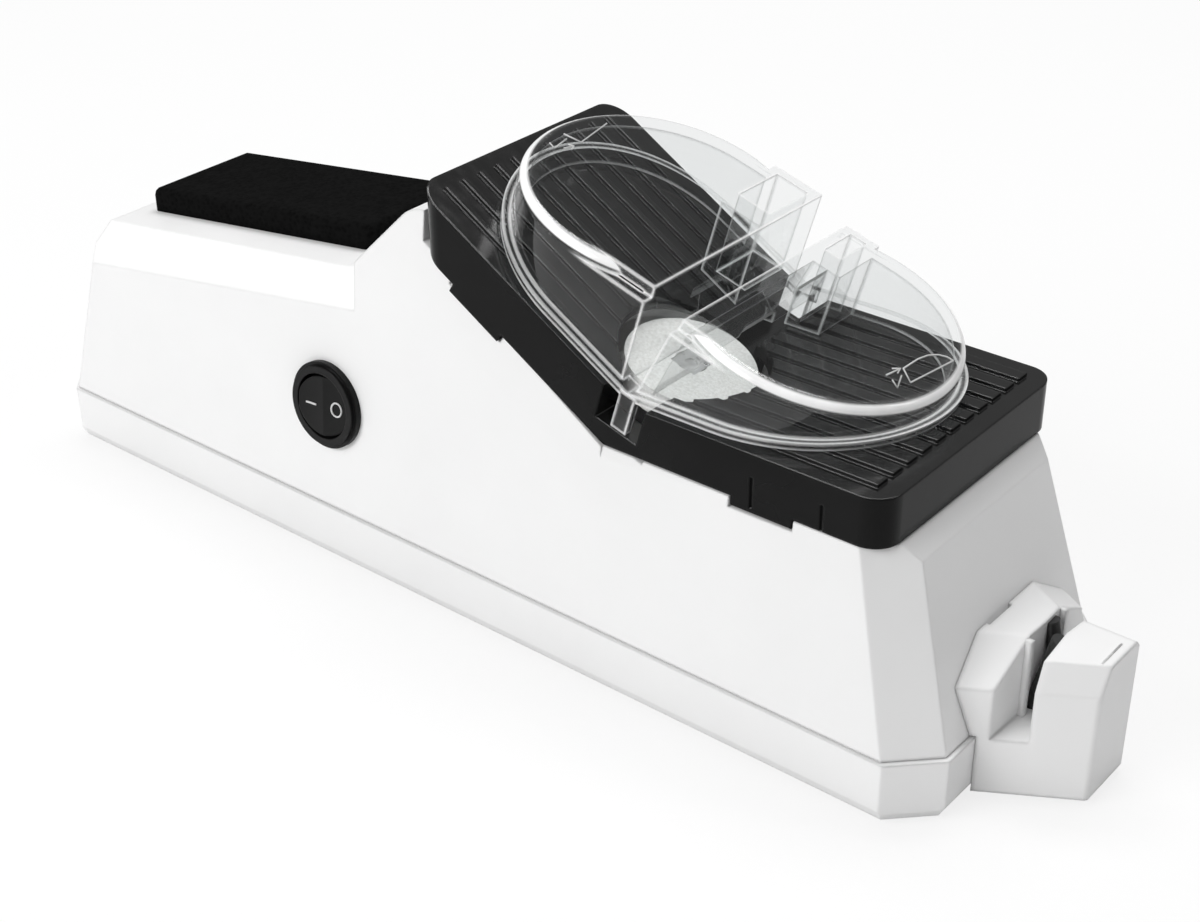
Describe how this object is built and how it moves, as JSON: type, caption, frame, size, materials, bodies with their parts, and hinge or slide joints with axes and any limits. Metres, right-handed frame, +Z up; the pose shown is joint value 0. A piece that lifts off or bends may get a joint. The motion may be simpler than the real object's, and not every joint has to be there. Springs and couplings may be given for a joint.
{
  "type": "electric knife sharpener",
  "caption": "Electric knife sharpener: wedge body with a hand pad and rocker switch, a flat grinding wheel under a clear slotted guard on a V-shaped plate, and a manual V slot at the end.",
  "frame": {"origin": "under the middle of the whole length, the manual block included; the feet stand on Z = 0", "axes": "+X along the body to the end with the manual block, -Y the side with the rocker switch, +Z up"},
  "size_m": [0.241, 0.066, 0.093],
  "materials": {
    "housing_white": "satin",
    "block_white": "satin",
    "pad_foam": "matt fine-pored foam",
    "switch_black": "satin",
    "plate_black": "gloss",
    "guard_clear": "clear polished",
    "wheel_grit": "bonded abrasive, fine grit",
    "metal": "plated",
    "inner_white": "moulded",
    "motor_steel": "plated",
    "inner_black": "moulded",
    "board_green": "lacquered",
    "rod_black": "fine ground ceramic",
    "feet_rubber": "matt"
  },
  "bodies": {
    "housing": {"upper_housing": "housing_white", "base_tray": "housing_white", "hand_pad": "pad_foam", "switch_bezel": "switch_black", "switch_contacts": "metal", "wheel_chamber": "inner_white", "motor_can": "motor_steel", "motor_end_cap": "inner_black", "motor_cradle": "inner_white", "cradle_screws": "metal", "circuit_board": "board_green", "power_socket": "inner_black", "sharpener_block": "block_white", "sharpening_rods": "rod_black", "block_screws": "metal", "base_screws": "metal", "rubber_feet": "feet_rubber"},
    "rocker": {"rocker": "switch_black"},
    "wheel": {"grinding_wheel": "wheel_grit", "wheel_hub": "metal", "hub_nut": "metal", "motor_shaft": "metal"},
    "top": {"work_plate": "plate_black", "clear_guard": "guard_clear"}
  },
  "joints": [
    {"name": "rocker_tilt", "type": "hinge", "parent": "housing", "child": "rocker", "pos_m": [-0.0363, -0.03016, 0.0357], "axis": [0, 0.0993, 0.9951], "range_deg": [-18, 0]},
    {"name": "wheel_spin", "type": "hinge", "parent": "housing", "child": "wheel", "pos_m": [0.0365, -0.0085, 0.0594], "axis": [0.284, 0, 0.9588], "continuous": true},
    {"name": "plate_lift", "type": "slide", "parent": "housing", "child": "top", "axis": [0, 0, 1], "range_m": [0, 0.06]}
  ]
}
